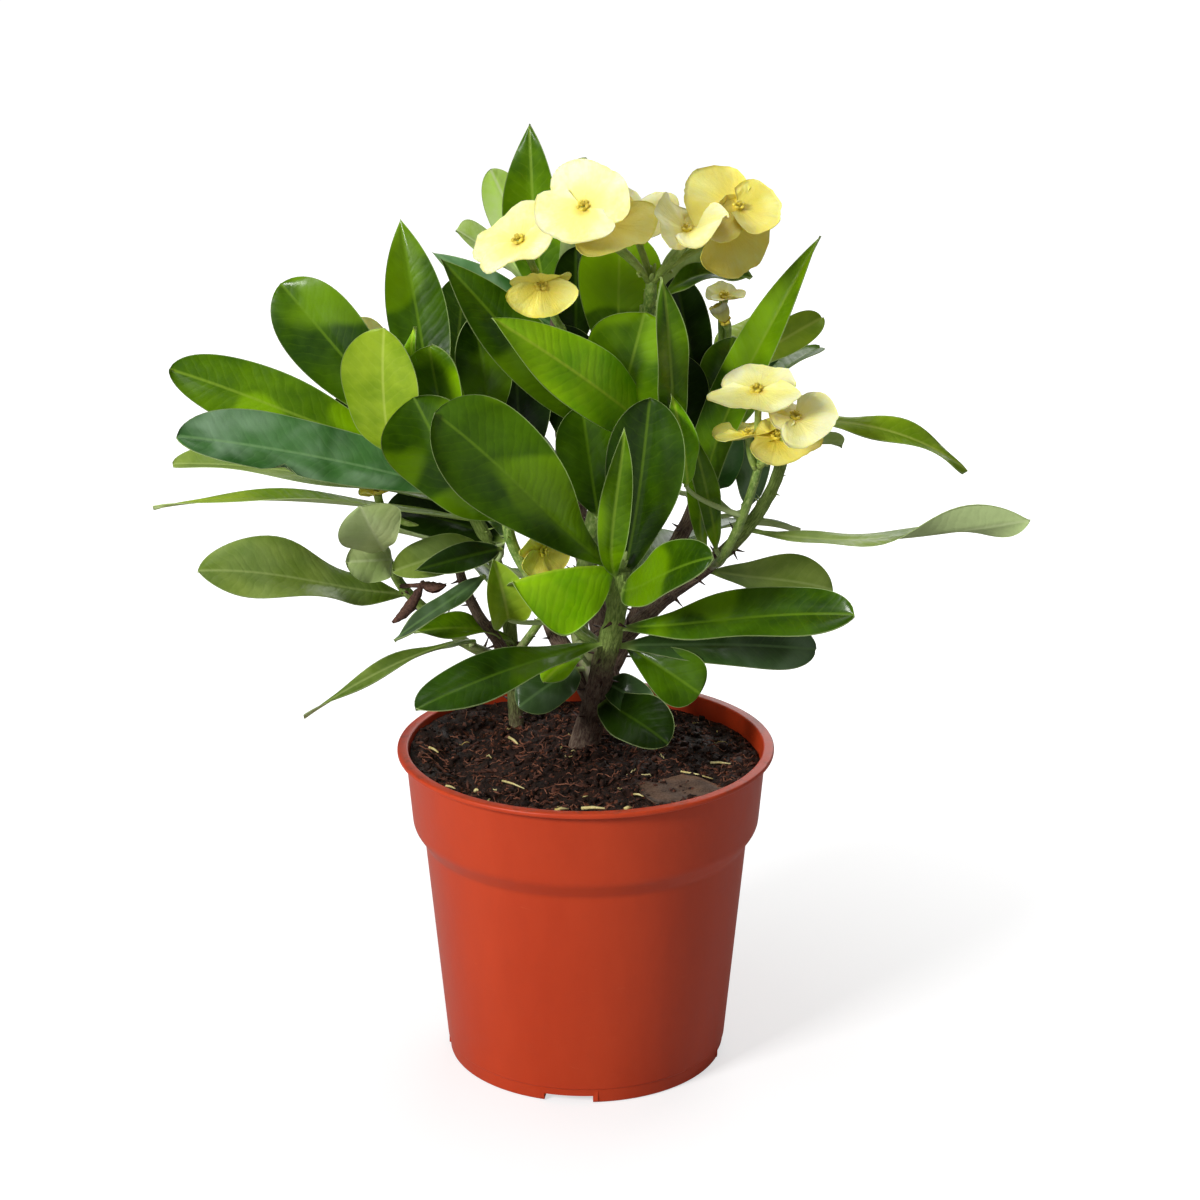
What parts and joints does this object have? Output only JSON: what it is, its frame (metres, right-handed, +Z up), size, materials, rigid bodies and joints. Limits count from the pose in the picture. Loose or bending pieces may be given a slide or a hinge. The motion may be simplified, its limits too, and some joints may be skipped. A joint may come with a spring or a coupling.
{
  "type": "potted euphorbia",
  "caption": "Crown-of-thorns euphorbia with spoon-shaped leaves and pale yellow bracts in a round tapered plastic nursery pot with soil.",
  "frame": {"origin": "centre of the pot's underside, on the surface that it stands on", "axes": "+Z up the pot's axis; -Y is the side that the plant shows best"},
  "size_m": [0.2759, 0.1623, 0.2962],
  "materials": {
    "pot_plastic": "satin",
    "potting_soil": "matte",
    "woody_stem": "matte",
    "green_stem": "satin",
    "leaf": "satin",
    "bract": "matte",
    "withered_bract": "matte"
  },
  "bodies": {
    "root": {"pot": "pot_plastic", "potting_soil": "potting_soil", "main_stem": "woody_stem", "top_branch": "green_stem", "right_branch": "woody_stem", "left_stem": "green_stem", "low_left_branch": "green_stem", "back_stem": "woody_stem", "rear_right_stem": "woody_stem", "front_left_shoot": "green_stem", "top_flower_stem": "green_stem", "side_flower_stem": "green_stem", "leaf_left_upper": "leaf", "leaf_left_long": "leaf", "leaf_left_glossy": "leaf", "leaf_left_pale": "leaf", "leaf_left_edge": "leaf", "leaf_left_wavy": "leaf", "leaf_upright": "leaf", "leaf_young_left": "leaf", "leaf_behind_left": "leaf", "leaf_long_dark": "leaf", "leaf_top": "leaf", "leaf_bright": "leaf", "leaf_round_top": "leaf", "leaf_narrow_centre": "leaf", "leaf_broad_behind": "leaf", "leaf_big_front": "leaf", "leaf_dark_front": "leaf", "leaf_small_ellipse": "leaf", "leaf_large_centre": "leaf", "leaf_right_dark": "leaf", "leaf_right_tall": "leaf", "leaf_rear_blue": "leaf", "leaf_right_high": "leaf", "leaf_right_far": "leaf", "leaf_right_olive": "leaf", "leaf_round_right": "leaf", "leaf_low_glossy": "leaf", "leaf_low_dark": "leaf", "leaf_low_bright": "leaf", "leaf_low_left": "leaf", "leaf_low_round": "leaf", "leaf_back_left": "leaf", "leaf_back_low": "leaf", "leaf_back_centre": "leaf", "leaf_back_right": "leaf", "leaf_back_base": "leaf", "flower_centre": "bract", "flower_under_centre": "bract", "flower_left": "bract", "flower_hanging": "bract", "flower_right": "bract", "flower_far_right": "bract", "flower_behind": "bract", "flower_side_top": "bract", "flower_side_low": "bract", "flower_rear": "bract", "flower_rear_left": "bract", "withered_flower": "withered_bract"}
  },
  "joints": []
}
